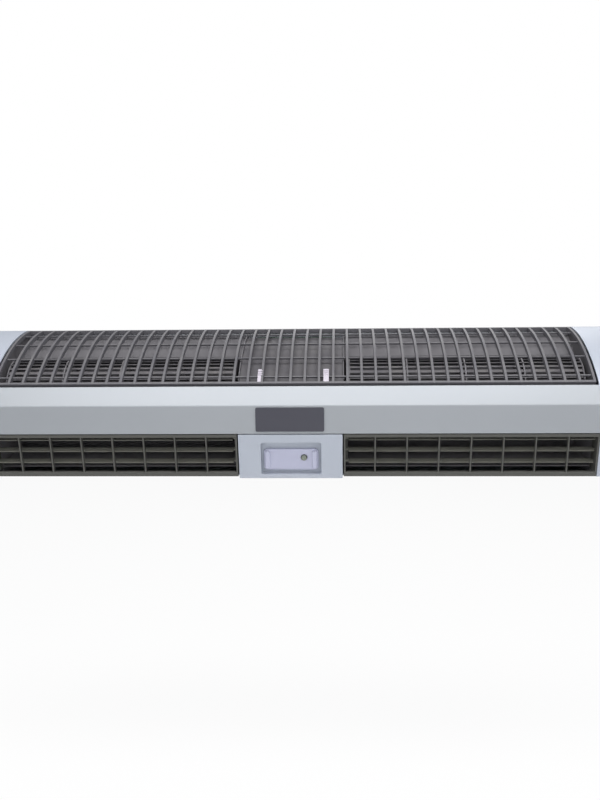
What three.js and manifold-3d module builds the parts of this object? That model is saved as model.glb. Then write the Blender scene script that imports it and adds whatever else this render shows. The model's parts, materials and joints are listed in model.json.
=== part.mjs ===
// Wall-mounted cross-flow air curtain, 900 mm class.
// Millimetres, +Z up. X runs along the unit, the front looks towards -Y, the wall is the plane y = 0.
// Every piece is drawn with z = 0 at the underside. The last group moves the whole unit down so that
// the origin lies at the centre of the wall bracket's back face.

import * as THREE from 'three';
import { mergeVertices } from 'three/addons/utils/BufferGeometryUtils.js';
import Module from 'manifold-3d';

const wasm = await Module();
wasm.setup();

// ---------------------------------------------------------------- driving dimensions

const LENGTH = 930;
const CAP_WIDTH = 44.7;
const BODY_END = LENGTH / 2 - CAP_WIDTH - 0.3; // inner pieces stop here, 0.3 short of the caps
const GAP = 0.3; // clearance between neighbours that touch on the real unit
const SHEET = 1.5; // bent steel sheet
const PLASTIC = 2.5; // moulded walls

// side outline, as [y, z]
const HEIGHT = 211.2;
const LIP = [-165, 0]; // front edge of the underside
const BAND_BOTTOM = [-184.5, 61];
const NOSE = [-190, 100]; // crease of the front band
const BAND_TOP = [-173.5, 127];
const ARC_CENTRE = [27, -62]; // the intake grille bulges around this axis
const ARC_RADIUS = 277;
const ARC_FRONT = 46; // degrees from the vertical, at the grille's lower edge
const ARC_BACK = 9.6; // and at its hinge edge
const BACK = -3; // back sheet stands this far off the wall

// sheet walls across the unit, as [inner x, outer x] on the right-hand half
const SIDE_PLATE = [BODY_END - 1.8, BODY_END - 0.6];

// grille
const GRILLE_HALF = BODY_END - 2.5;
const GRILLE_DEPTH = 7;
const RIB_COUNT = 43;
const RIB_WIDTH = 3.6;
const BAR_ANGLES = [15.5, 24.5, 33.5, 42.5];
const HINGE = [-18.5, 207.6];
const CLIP_X = { left: -42.2, right: 49.5 };

// outlets, drawn in a frame that leans with the outlet face: y is depth, z runs up the slope
const OUTLET_TILT = Math.atan2(LIP[0] - BAND_BOTTOM[0], BAND_BOTTOM[1]);
const OUTLET_HEIGHT = 63;
const PANEL_HALF = 72;
const PANEL_DROP = 2.5; // the panel ends this far below the outlets
const OUTLET_START = PANEL_HALF + 1.6;
const DIVIDERS = 7;
const DIVIDER_PITCH = 43.7;
const OUTLET_RAILS = { low: 6.5, high: 4.5 };
const PARTITION = [PANEL_HALF + 1.2, PANEL_HALF + 2.4];
const AIR_WALLS = [PARTITION[1] + GAP, SIDE_PLATE[0] - GAP];
const BLADE_CHORD = 15;
const BLADE_PIVOT_DEPTH = 15;
const BLADE_HEIGHTS = [18, 35, 52];
const CRANK = 6.5;

// rotor
const AXIS = [-88, 112]; // y, z of the rotor
const WHEEL_RADIUS = 55;
const WHEEL_BLADES = 18;
const WHEEL_START = PANEL_HALF + 9;
const WHEEL_END = BODY_END - 8;
const SHAFT_RADIUS = 5;

// wall bracket
const BRACKET_HALF = 330;
const BRACKET_BOTTOM = 66;
const BRACKET_TOP = 172;
const BRACKET_SHEET = 2;
const HOOK_X = 250;

const rad = THREE.MathUtils.degToRad;

// ---------------------------------------------------------------- shape helpers

function extruded(outline, depth, holes = []) {
  const shape = new THREE.Shape(outline.map(([u, v]) => new THREE.Vector2(u, v)));
  for (const hole of holes) {
    shape.holes.push(new THREE.Path(hole.map(([u, v]) => new THREE.Vector2(u, v))));
  }
  return new THREE.ExtrudeGeometry(shape, { depth, bevelEnabled: false });
}

// outline in [y, z], swept from x0 to x1
function alongX(outline, x0, x1, holes = []) {
  const turn = new THREE.Matrix4().set(0, 0, 1, x0, 1, 0, 0, 0, 0, 1, 0, 0, 0, 0, 0, 1);
  return extruded(outline, x1 - x0, holes).applyMatrix4(turn);
}

// outline in [x, z], swept from y0 to y1
function alongY(outline, y0, y1, holes = []) {
  const turn = new THREE.Matrix4().set(1, 0, 0, 0, 0, 0, -1, y1, 0, 1, 0, 0, 0, 0, 0, 1);
  return extruded(outline, y1 - y0, holes).applyMatrix4(turn);
}

function box(x0, x1, y0, y1, z0, z1) {
  const shape = new THREE.BoxGeometry(x1 - x0, y1 - y0, z1 - z0);
  return shape.translate((x0 + x1) / 2, (y0 + y1) / 2, (z0 + z1) / 2);
}

function rodX(x0, x1, y, z, radius, sides = 12) {
  const rod = new THREE.CylinderGeometry(radius, radius, x1 - x0, sides);
  return rod.rotateZ(Math.PI / 2).translate((x0 + x1) / 2, y, z);
}

function rodY(x, z, y0, y1, radius, sides = 12) {
  const rod = new THREE.CylinderGeometry(radius, radius, y1 - y0, sides);
  return rod.translate(x, (y0 + y1) / 2, z);
}

function rodZ(x, y, z0, z1, radius, sides = 12) {
  const rod = new THREE.CylinderGeometry(radius, radius, z1 - z0, sides);
  return rod.rotateX(Math.PI / 2).translate(x, y, (z0 + z1) / 2);
}

// body of revolution about the X axis through [y, z]; profile lists [x, radius]
function turnedX(profile, y, z, sides = 24) {
  const points = profile.map(([x, r]) => new THREE.Vector2(r, x));
  return new THREE.LatheGeometry(points, sides).rotateZ(-Math.PI / 2).translate(0, y, z);
}

function ringX(x0, x1, y, z, inner, outer, sides = 20) {
  const corners = [[x0, inner], [x0, outer], [x1, outer], [x1, inner], [x0, inner]];
  return turnedX(corners, y, z, sides);
}

function circle(y, z, radius, sides = 12) {
  return Array.from({ length: sides }, (_, i) => {
    const a = (2 * Math.PI * i) / sides;
    return [y + radius * Math.cos(a), z + radius * Math.sin(a)];
  });
}

function rectangle(u0, u1, v0, v1) {
  return [[u0, v0], [u1, v0], [u1, v1], [u0, v1]];
}

function roundedRectangle(u0, u1, v0, v1, radius, steps = 4) {
  const corners = [[u1 - radius, v0 + radius], [u1 - radius, v1 - radius],
    [u0 + radius, v1 - radius], [u0 + radius, v0 + radius]];
  return corners.flatMap(([u, v], k) => Array.from({ length: steps + 1 }, (_, i) => {
    const a = rad(-90 + 90 * k + (90 * i) / steps);
    return [u + radius * Math.cos(a), v + radius * Math.sin(a)];
  }));
}

// point of the grille's bulge at an angle from the vertical
function onArc(degrees, radius = ARC_RADIUS) {
  const a = rad(degrees);
  return [ARC_CENTRE[0] - radius * Math.sin(a), ARC_CENTRE[1] + radius * Math.cos(a)];
}

function arc(from, to, radius, steps) {
  return Array.from({ length: steps + 1 }, (_, i) => onArc(from + ((to - from) * i) / steps, radius));
}

// closed outline of a sheet whose outer face follows the path; the sheet lies to its left
function sheetAlong(path, thickness) {
  const inner = path.map(([y, z], i) => {
    const before = path[Math.max(i - 1, 0)];
    const after = path[Math.min(i + 1, path.length - 1)];
    const here = new THREE.Vector2(y, z);
    const arriving = here.clone().sub(new THREE.Vector2(...before)).normalize();
    const leaving = new THREE.Vector2(...after).sub(here).normalize();
    if (i === 0) arriving.copy(leaving);
    if (i === path.length - 1) leaving.copy(arriving);
    const left = new THREE.Vector2(-arriving.y - leaving.y, arriving.x + leaving.x).normalize();
    const reach = thickness / Math.max(0.3, left.dot(new THREE.Vector2(-leaving.y, leaving.x)));
    return [y + left.x * reach, z + left.y * reach];
  });
  return [...path, ...inner.reverse()];
}

// interval a..b on the right-hand half, or its mirror image on the left-hand half
function span(side, a, b) {
  return side > 0 ? [a, b] : [-b, -a];
}

// ---------------------------------------------------------------- joining and cutting

function solid(geometry) {
  const bare = geometry.clone();
  bare.deleteAttribute('normal');
  bare.deleteAttribute('uv');
  const merged = mergeVertices(bare, 1e-4);
  return new wasm.Manifold(new wasm.Mesh({
    numProp: 3,
    vertProperties: new Float32Array(merged.attributes.position.array),
    triVerts: new Uint32Array(merged.index.array),
  }));
}

function geometryOf(manifold) {
  const mesh = manifold.getMesh();
  const geometry = new THREE.BufferGeometry();
  geometry.setAttribute('position', new THREE.BufferAttribute(mesh.vertProperties, 3));
  geometry.setIndex(new THREE.BufferAttribute(mesh.triVerts, 1));
  geometry.computeVertexNormals();
  return geometry;
}

function join(...geometries) {
  return geometryOf(geometries.map(solid).reduce((sum, next) => sum.add(next)));
}

function cut(base, ...tools) {
  return geometryOf(tools.map(solid).reduce((rest, tool) => rest.subtract(tool), solid(base)));
}

// ---------------------------------------------------------------- materials

function finish(color, roughness, metalness) {
  return { color, roughness, metalness };
}

const SILVER = finish(0xc6ccd4, 0.38, 0.35);
const PALE_SILVER = finish(0xd2d7de, 0.42, 0.2);
const GRAPHITE = finish(0x5c5b60, 0.5, 0.0);
const OUTLET_BLACK = finish(0x3b3c38, 0.55, 0.0);
const BLADE_GREY = finish(0x4c4d49, 0.5, 0.0);
const STEEL = finish(0xa9aeb2, 0.45, 0.8);
const BRIGHT_STEEL = finish(0xc9ccd0, 0.25, 1.0);
const RUBBER = finish(0x1c1c1e, 0.85, 0.0);
const WHITE = finish(0xf1f2f4, 0.45, 0.0);
const PLATE_DARK = finish(0x3e3e48, 0.35, 0.0);
const LILAC = finish(0xb3b2cc, 0.25, 0.0);
const OLIVE = finish(0x5d6457, 0.3, 0.0);
const WHEEL_GREY = finish(0x47474b, 0.5, 0.0);
const DARK_SHEET = finish(0x4b4b50, 0.5, 0.1);
const MOTOR_PAINT = finish(0x2f3338, 0.5, 0.3);
const BOARD_GREEN = finish(0x2c5a3a, 0.5, 0.0);
const CREAM = finish(0xe3dfd0, 0.5, 0.0);
const BRASS = finish(0xb08d4a, 0.35, 1.0);
const WIRE_GREY = finish(0x77797d, 0.6, 0.0);

function piece(parent, name, geometry, look) {
  const mesh = new THREE.Mesh(geometry, new THREE.MeshStandardMaterial(look));
  mesh.name = name;
  parent.add(mesh);
  return mesh;
}

// ---------------------------------------------------------------- shell

function wallBracket() {
  const plate = box(-BRACKET_HALF, BRACKET_HALF, -BRACKET_SHEET, 0, BRACKET_BOTTOM, BRACKET_TOP);
  const hook = [[-BRACKET_SHEET - 6, BRACKET_TOP - 2], [0, BRACKET_TOP - 2], [0, BRACKET_TOP],
    [-BRACKET_SHEET - 4, BRACKET_TOP], [-BRACKET_SHEET - 4, BRACKET_TOP + 12],
    [-BRACKET_SHEET - 6, BRACKET_TOP + 12]];
  const hooks = [-HOOK_X, HOOK_X].map((x) => alongX(hook, x - 18, x + 18));
  const wallSlot = (x, z) => alongY(roundedRectangle(x - 9, x + 9, z - 3.2, z + 3.2, 3.1, 3), -5, 5);
  const slots = [-190, 190].flatMap((x) => [wallSlot(x, 90), wallSlot(x, 150)]);
  const screwHoles = [-HOOK_X, HOOK_X].map((x) => rodY(x, 75, -5, 5, 2.5));
  return cut(join(plate, ...hooks), ...slots, ...screwHoles);
}

function chassis() {
  const path = [[-150, 0], [BACK, 0], [BACK, HEIGHT], [-14, HEIGHT]];
  const sheet = alongX(sheetAlong(path, SHEET), -BODY_END, BODY_END);
  const hookSlots = [-HOOK_X, HOOK_X].map((x) => (
    box(x - 20, x + 20, -8, 0, BRACKET_TOP - 6, BRACKET_TOP + GAP)));
  const screwHoles = [-HOOK_X, HOOK_X].map((x) => rodY(x, 75, -8, 0, 2.6));
  const inlet = rodZ(62, -28, -2, 4, 8.6, 16);
  return cut(sheet, ...hookSlots, ...screwHoles, inlet);
}

function bodyOutline() {
  return [[-1, 0], LIP, BAND_BOTTOM, NOSE, BAND_TOP, ...arc(ARC_FRONT, ARC_BACK, ARC_RADIUS, 8),
    [-13, HEIGHT], [-1, HEIGHT]];
}

// the same outline, a wall's thickness further in
function hollowOutline() {
  const inner = ARC_RADIUS - PLASTIC;
  return [[-1 - PLASTIC, PLASTIC], [LIP[0] + 1.9, PLASTIC], [BAND_BOTTOM[0] + 2.6, BAND_BOTTOM[1]],
    [NOSE[0] + 2.8, NOSE[1] - 0.4], [BAND_TOP[0] + 3.2, BAND_TOP[1]],
    ...arc(ARC_FRONT - 0.4, ARC_BACK, inner, 8), [-13, HEIGHT - PLASTIC], [-1 - PLASTIC, HEIGHT - PLASTIC]];
}

const CAP_SCREWS = { upper: [-36, 176], lower: [-112, 14] };
const SCREW_SEAT = BODY_END + 8; // floor of the screw wells

function endCap(side) {
  const outer = LENGTH / 2;
  const body = alongX(bodyOutline(), ...span(side, outer - CAP_WIDTH, outer));
  const hollow = alongX(hollowOutline(), ...span(side, outer - CAP_WIDTH - 1, outer - PLASTIC));
  const bosses = Object.values(CAP_SCREWS).map(([y, z]) => (
    rodX(...span(side, outer - CAP_WIDTH, outer - PLASTIC + 0.2), y, z, 6)));
  const holes = Object.values(CAP_SCREWS).flatMap(([y, z]) => [
    rodX(...span(side, outer - CAP_WIDTH - 1, outer + 1), y, z, 2.2),
    rodX(...span(side, SCREW_SEAT, outer + 1), y, z, 4.2)]);
  return cut(join(cut(body, hollow), ...bosses), ...holes);
}

function capScrew(side, [y, z]) {
  const top = SCREW_SEAT + GAP + 2.4;
  const head = rodX(...span(side, SCREW_SEAT + GAP, top), y, z, 3.8);
  const shank = rodX(...span(side, BODY_END - 2.8, SCREW_SEAT + 0.4), y, z, 1.8, 12);
  const recess = [box(...span(side, top - 1, top + 1), y - 2.4, y + 2.4, z - 0.5, z + 0.5),
    box(...span(side, top - 1.1, top + 1), y - 0.5, y + 0.5, z - 2.4, z + 2.4)];
  return cut(join(head, shank), ...recess);
}

function frontBand() {
  const path = [[-165.5, 119.5], BAND_TOP, NOSE, BAND_BOTTOM, [-171, 64.6]];
  return alongX(sheetAlong(path, 2), -BODY_END, BODY_END);
}

function namePlate() {
  return alongY(roundedRectangle(-47, 47, 3.6, 37.2, 2, 3), -1.3, -GAP);
}

// ---------------------------------------------------------------- intake grille

function intakeGrille() {
  const inner = ARC_RADIUS - GRILLE_DEPTH;
  const ends = [ARC_FRONT - 0.1, ARC_BACK + 0.1]; // the ribs end inside the rails
  const rib = [...arc(...ends, ARC_RADIUS, 5), ...arc(ends[1], ends[0], inner, 5)];
  const pitch = (2 * GRILLE_HALF - RIB_WIDTH) / (RIB_COUNT - 1);
  const ribs = Array.from({ length: RIB_COUNT }, (_, i) => {
    const x = -GRILLE_HALF + i * pitch;
    return alongX(rib, x, x + RIB_WIDTH);
  });
  const bar = (from, to, low, high) => alongX(
    [onArc(from, low), onArc(from, high), onArc(to, high), onArc(to, low)], -GRILLE_HALF, GRILLE_HALF);
  const bars = BAR_ANGLES.map((angle) => bar(angle - 0.3, angle + 0.3, inner + 1, ARC_RADIUS - 1.2));
  const rails = [bar(ARC_FRONT - 0.8, ARC_FRONT, inner, ARC_RADIUS),
    bar(ARC_BACK, ARC_BACK + 0.9, inner, ARC_RADIUS)];
  const pins = [1, -1].map((side) => (
    rodX(...span(side, GRILLE_HALF - 1, GRILLE_HALF + 1.7), ...HINGE, 1.6, 12)));
  const clipSlots = Object.values(CLIP_X).map((x) => clipBlock(x, 4.6, ARC_FRONT + 1, 38.5, 4.4, 1));
  return cut(join(...ribs, ...bars, ...rails, ...pins), ...clipSlots);
}

// block that follows the bulge, half as wide as given, from one angle to another
function clipBlock(x, half, from, to, depth, proud) {
  const low = ARC_RADIUS - depth;
  const high = ARC_RADIUS + proud;
  const outline = [...arc(from, to, high, 2), ...arc(to, from, low, 2)];
  return alongX(outline, x - half, x + half);
}

function grilleClip(x) {
  const body = clipBlock(x, 3.9, ARC_FRONT - 0.1, 40, 3.8, 0);
  const grip = clipBlock(x, 3.0, 42.4, 41.2, 1, 1.4);
  return join(body, grip);
}

// ---------------------------------------------------------------- centre panel and its controls

const TRAY = { x0: -41, x1: 42.5, z0: 3, z1: 51 };
const WINDOW = { x0: -37.5, x1: 38.5, z0: 8, z1: 39 };
const BUTTON = [18.5, 26.5];

function centrePanel() {
  const shell = cut(box(-PANEL_HALF, PANEL_HALF, 0, 26, -PANEL_DROP, OUTLET_HEIGHT),
    box(-PANEL_HALF + 2, PANEL_HALF - 2, PLASTIC, 30, 2 - PANEL_DROP, OUTLET_HEIGHT - 2));
  const dish = box(TRAY.x0 - 2, TRAY.x1 + 2, 1, 12, TRAY.z0 - 2, TRAY.z1 + 2);
  const tray = alongY(roundedRectangle(TRAY.x0, TRAY.x1, TRAY.z0, TRAY.z1, 3, 3), -1, 10);
  return cut(join(shell, dish), tray, rodY(...BUTTON, 5, 15, 4.5));
}

function receiverWindow() {
  const { x0, x1, z0, z1 } = WINDOW;
  const plate = alongY(roundedRectangle(x0, x1, z0, z1, 5, 3), 6, 9.7, [circle(...BUTTON, 4.5)]);
  const ridge = (x) => alongY(roundedRectangle(x - 3.5, x + 3.5, z0 + 2, z1 - 2, 3, 3), 3.6, 6.5);
  return join(plate, ridge(x0 + 5.2), ridge(x1 - 5.2));
}

function powerButton() {
  const profile = [[0, 3], [2.8, 3], [4, 4.2], [4, 11.3], [0, 11.3]];
  const points = profile.map(([r, y]) => new THREE.Vector2(r, y));
  return new THREE.LatheGeometry(points, 16).translate(BUTTON[0], 0, BUTTON[1]);
}

function receiverBoard() {
  const board = box(WINDOW.x0 + 2, WINDOW.x1 - 1, 15, 16.6, 10, 40);
  const keySwitch = box(BUTTON[0] - 3, BUTTON[0] + 3, 13.2, 15.2, BUTTON[1] - 3, BUTTON[1] + 3);
  const sensor = box(-6, 2, 12.4, 15.2, 21, 29);
  const socket = box(-28, -14, 16.4, 22, 18, 32);
  return join(board, keySwitch, sensor, socket);
}

// ---------------------------------------------------------------- outlets

function outletFrame(side) {
  const [x0, x1] = span(side, OUTLET_START, BODY_END);
  const cheek = 2.5;
  const { low, high } = OUTLET_RAILS;
  const dividers = Array.from({ length: DIVIDERS }, (_, i) => PANEL_HALF + 1 + DIVIDER_PITCH * (i + 1));
  const starts = [OUTLET_START + cheek, ...dividers.map((x) => x + 1)];
  const ends = [...dividers.map((x) => x - 1), BODY_END - cheek];
  const cells = starts.map((start, i) => (
    box(...span(side, start, ends[i]), 0, 6, low, OUTLET_HEIGHT - high)));
  const lattice = cut(box(x0, x1, 0.6, 5.6, 0, OUTLET_HEIGHT), ...cells);
  const cheeks = [[x0, x0 + cheek], [x1 - cheek, x1]].map(([left, right]) => (
    box(left, right, 5, 27, 1, OUTLET_HEIGHT - 1)));
  const pinHoles = BLADE_HEIGHTS.map((z) => rodX(x0 - 1, x1 + 1, BLADE_PIVOT_DEPTH, z, 2, 8));
  return cut(join(lattice, ...cheeks), ...pinHoles);
}

// drawn around its own pivot axis
function louvreBlade(side) {
  const start = OUTLET_START + 6.7;
  const end = BODY_END - 3.8;
  const half = BLADE_CHORD / 2;
  const section = [[-half, -0.6], [0, -1], [half, -0.6], [half, 0.6], [0, 1], [-half, 0.6]];
  const pivots = [[OUTLET_START + GAP, start + 0.7], [end - 0.7, BODY_END - 0.9]].map(([from, to]) => (
    rodX(...span(side, from, to), 0, 0, 1.5, 8)));
  const crank = rodX(...span(side, OUTLET_START + 2.9, start + 0.7), CRANK, 0, 1, 8);
  return join(alongX(section, ...span(side, start, end)), ...pivots, crank);
}

function linkBar(side) {
  const low = BLADE_HEIGHTS[0];
  const high = BLADE_HEIGHTS[BLADE_HEIGHTS.length - 1];
  const bar = roundedRectangle(-2.7, 2.7, low - 3, high + 3, 2, 2);
  const holes = BLADE_HEIGHTS.map((z) => circle(0, z, 1.5, 8));
  return alongX(bar, ...span(side, OUTLET_START + 3.5, OUTLET_START + 5.3), holes);
}

// ---------------------------------------------------------------- air path

const scrollRadius = (degrees) => 61 + ((60 - degrees) / 150) * 22;

function scrollWall(side) {
  const spiral = Array.from({ length: 10 }, (_, i) => {
    const degrees = 45 - 15 * i;
    const r = scrollRadius(degrees);
    return [AXIS[0] + r * Math.cos(rad(degrees)), AXIS[1] + r * Math.sin(rad(degrees))];
  });
  const path = [[-12, 200], [-40, 180], [-52, 168], [-51, 162], ...spiral, [-138, 12.5]];
  return alongX(sheetAlong(path, 1.2), ...span(side, ...AIR_WALLS));
}

function tongue(side) {
  const path = [[-156, 68.5], [-143.2, 85], [-147.6, 106], [-155.6, 119], [-162.5, 116.5]];
  return alongX(sheetAlong(path, 1.2), ...span(side, ...AIR_WALLS));
}

function plateOutline() {
  return [[-5.2, 2.2], [-5.2, 207], [-12, 207], ...arc(ARC_BACK + 1.5, 43.2, ARC_RADIUS - 9, 6),
    [-158.8, 124.5], [-158.8, 70], [-137, 13.5], [-137, 2.2]];
}

function sidePlate(side) {
  const [x0, x1] = span(side, ...SIDE_PLATE);
  const ear = join(rodX(x0, x1, ...HINGE, 3.2, 16), alongX(rectangle(-21, -13, 196, HINGE[1]), x0, x1));
  const blank = join(alongX(plateOutline(), x0, x1), ear);
  const holes = [rodX(x0 - 1, x1 + 1, ...HINGE, 2, 12), rodX(x0 - 1, x1 + 1, ...AXIS, 15.4, 16)];
  const screwHoles = Object.values(CAP_SCREWS).map(([y, z]) => rodX(x0 - 1, x1 + 1, y, z, 2.2, 12));
  return cut(blank, ...holes, ...screwHoles);
}

function partition(side) {
  return alongX(plateOutline(), ...span(side, ...PARTITION), [circle(...AXIS, 14, 16)]);
}

// ---------------------------------------------------------------- rotor

function wheelBlade() {
  const edge = (radius, degrees) => [radius * Math.cos(rad(degrees)), radius * Math.sin(rad(degrees))];
  return [edge(45, 0), edge(54.6, 10), edge(54.6, 11.4), edge(45, 1.8)];
}

function turnOutline(outline, degrees) {
  const a = rad(degrees);
  return outline.map(([y, z]) => [y * Math.cos(a) - z * Math.sin(a), y * Math.sin(a) + z * Math.cos(a)]);
}

// drawn around the rotor axis, for the right-hand half
function impeller(side) {
  const blades = Array.from({ length: WHEEL_BLADES }, (_, i) => (
    alongX(turnOutline(wheelBlade(), (360 * i) / WHEEL_BLADES), ...span(side, WHEEL_START + 1, WHEEL_END - 1))));
  const middle = (WHEEL_START + WHEEL_END) / 2;
  const innerDisc = ringX(...span(side, WHEEL_START, WHEEL_START + 2), 0, 0, SHAFT_RADIUS + GAP, WHEEL_RADIUS, 24);
  const outerDisc = rodX(...span(side, WHEEL_END - 2, WHEEL_END), 0, 0, WHEEL_RADIUS, 24);
  const middleRing = ringX(...span(side, middle - 1, middle + 1), 0, 0, 43, WHEEL_RADIUS, 24);
  const hub = ringX(...span(side, WHEEL_START + 1, WHEEL_START + 18), 0, 0, SHAFT_RADIUS + GAP, 11, 16);
  const stub = rodX(...span(side, WHEEL_END - 6, BODY_END + 7.6), 0, 0, 4, 12);
  const grubHole = rodZ(side * (WHEEL_START + 10), 0, 4, 13, 2.7, 12);
  return cut(join(...blades, innerDisc, outerDisc, middleRing, hub, stub), grubHole);
}

function grubScrew() {
  return cut(rodZ(0, 0, SHAFT_RADIUS + GAP, 11.4, 2.4, 12), rodZ(0, 0, 9.4, 12, 1.1, 6));
}

function motorShaft() {
  return rodX(-WHEEL_START - 17, WHEEL_START + 17, 0, 0, SHAFT_RADIUS, 20);
}

// ---------------------------------------------------------------- motor and its mounting

function motorBody() {
  const bore = SHAFT_RADIUS + 0.4;
  const half = [[50, bore], [50, 17], [38, 17], [35, 30], [31, 44], [31, 45]];
  const profile = [...half.map(([x, r]) => [-x, r]), ...[...half].reverse(), [-50, bore]];
  const stack = turnedX(profile, 0, 0, 20);
  return join(stack, box(-12, 12, 20, 52, -7, 7));
}

function motorCradle() {
  const foot = box(-48, 48, AXIS[0] - 38, AXIS[0] + 38, SHEET + GAP, SHEET + GAP + 2);
  const upright = [[AXIS[0] - 38, 2], [AXIS[0] + 38, 2], [AXIS[0] + 36, AXIS[1] - GAP], [AXIS[0] - 36, AXIS[1] - GAP]];
  const uprights = [1, -1].map((side) => alongX(upright, ...span(side, 41, 47)));
  const lightening = [1, -1].map((side) => alongX(roundedRectangle(AXIS[0] - 24, AXIS[0] + 24, 20, 66, 8, 3),
    ...span(side, 40, 48)));
  return cut(join(foot, ...uprights), rodX(-60, 60, ...AXIS, 26.7, 20), ...lightening);
}

// drawn around the rotor axis
function motorStrap(side) {
  const outer = arcAround(29.4, 0, 180, 10);
  const inner = arcAround(26.8, 180, 0, 10);
  const loop = alongX([...outer, ...inner], ...span(side, 41, 47));
  const ears = [box(...span(side, 41, 47), 28, 36, 0, 2.5), box(...span(side, 41, 47), -36, -28, 0, 2.5)];
  return join(loop, ...ears);
}

function arcAround(radius, from, to, steps) {
  return Array.from({ length: steps + 1 }, (_, i) => {
    const a = rad(from + ((to - from) * i) / steps);
    return [radius * Math.cos(a), radius * Math.sin(a)];
  });
}

function motorRing(side) {
  return ringX(...span(side, 40.4, 47.6), 0, 0, 17.4, 26, 20);
}

// ---------------------------------------------------------------- outer bearings

function bearingBracket(side) {
  const outline = [[-30, -12], [-12, -30], [12, -30], [30, -12], [30, 12], [12, 30], [-12, 30], [-30, 12]];
  const plate = alongX(outline, ...span(side, BODY_END - GAP, BODY_END + 1.5), [circle(0, 0, 15.3, 20)]);
  const collar = ringX(...span(side, BODY_END + 1, BODY_END + 7), 0, 0, 15.3, 18, 20);
  return join(plate, collar);
}

function bearingRubber(side) {
  return ringX(...span(side, BODY_END - 0.1, BODY_END + 6.6), 0, 0, 9.3, 15, 20);
}

function bearing(side) {
  return ringX(...span(side, BODY_END + 0.1, BODY_END + 6.4), 0, 0, 4.4, 9, 16);
}

// ---------------------------------------------------------------- electrics

function controlBoard() {
  const board = box(-58, 58, -14, -12.4, 128, 198);
  const relay = box(-46, -18, -30, -13.8, 140, 156);
  const transformer = box(10, 44, -38, -13.8, 150, 184);
  const feet = [[-52, 134], [52, 134], [-52, 192], [52, 192]].map(([x, z]) => rodY(x, z, -12.6, -4.8, 3, 10));
  return join(board, relay, transformer, ...feet);
}

function capacitor() {
  return join(box(-66, -24, -34, -10, 2, 34), box(-70, -20, -26, -18, 2, 5));
}

function terminalBlock() {
  const base = box(-12, 36, -32, -12, 2, 18);
  const slots = [0, 1, 2, 3].map((i) => box(-8 + i * 12, i * 12, -36, -24, 10, 20));
  return cut(base, ...slots);
}

function cableGland() {
  const body = join(rodZ(62, -28, -9, 12, 8, 16), rodZ(62, -28, -6, -GAP, 12, 6), rodZ(62, -28, 2, 6, 12, 6));
  return cut(body, rodZ(62, -28, -10, 14, 4.5, 12));
}

function wireAlong(points, radius) {
  const route = new THREE.CatmullRomCurve3(points.map((p) => new THREE.Vector3(...p)));
  const section = circle(0, 0, radius, 8).map(([u, v]) => new THREE.Vector2(u, v));
  const steps = Math.ceil(route.getLength() / (radius * 6));
  return new THREE.ExtrudeGeometry(new THREE.Shape(section), { steps, extrudePath: route, bevelEnabled: false });
}

const SUPPLY_ROUTE = [[62, -28, 4], [62, -28, 24], [54, -26, 34], [34, -22, 36], [22, -22, 32], [22, -22, 19]];
const MOTOR_ROUTE = [[0, -35.6, 112], [0, -28, 112], [-4, -22, 118], [-6, -18, 132], [-6, -16.6, 146]];

function bracketScrew() {
  const head = rodY(0, 0, -8.6, -4.9, 5, 16);
  return cut(join(head, rodY(0, 0, -5, -0.3, 2.1, 12)), box(-3.2, 3.2, -9, -7.4, -0.5, 0.5),
    box(-0.5, 0.5, -9, -7.4, -3.2, 3.2));
}

// ---------------------------------------------------------------- assembly

const unit = new THREE.Group();

piece(unit, 'wall_bracket', wallBracket(), STEEL);
piece(unit, 'chassis', chassis(), STEEL);
piece(unit, 'front_band', frontBand(), SILVER);
piece(unit, 'intake_grille', intakeGrille(), GRAPHITE);

const facet = new THREE.Group(); // lies in the band's lower facet
facet.position.set(0, BAND_BOTTOM[0], BAND_BOTTOM[1]);
facet.rotation.x = Math.atan2(BAND_BOTTOM[0] - NOSE[0], NOSE[1] - BAND_BOTTOM[1]);
unit.add(facet);
piece(facet, 'name_plate', namePlate(), PLATE_DARK);

const outlet = new THREE.Group(); // leans with the outlet face
outlet.position.set(0, LIP[0], LIP[1]);
outlet.rotation.x = OUTLET_TILT;
unit.add(outlet);
piece(outlet, 'centre_panel', centrePanel(), PALE_SILVER);
piece(outlet, 'receiver_window', receiverWindow(), LILAC);
piece(outlet, 'power_button', powerButton(), OLIVE);
piece(outlet, 'receiver_board', receiverBoard(), BOARD_GREEN);

const rotor = new THREE.Group(); // turns about the line through AXIS
rotor.position.set(0, ...AXIS);
unit.add(rotor);
piece(rotor, 'motor_shaft', motorShaft(), BRIGHT_STEEL);
piece(rotor, 'motor_body', motorBody(), MOTOR_PAINT);
piece(unit, 'motor_cradle', motorCradle(), STEEL);

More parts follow.
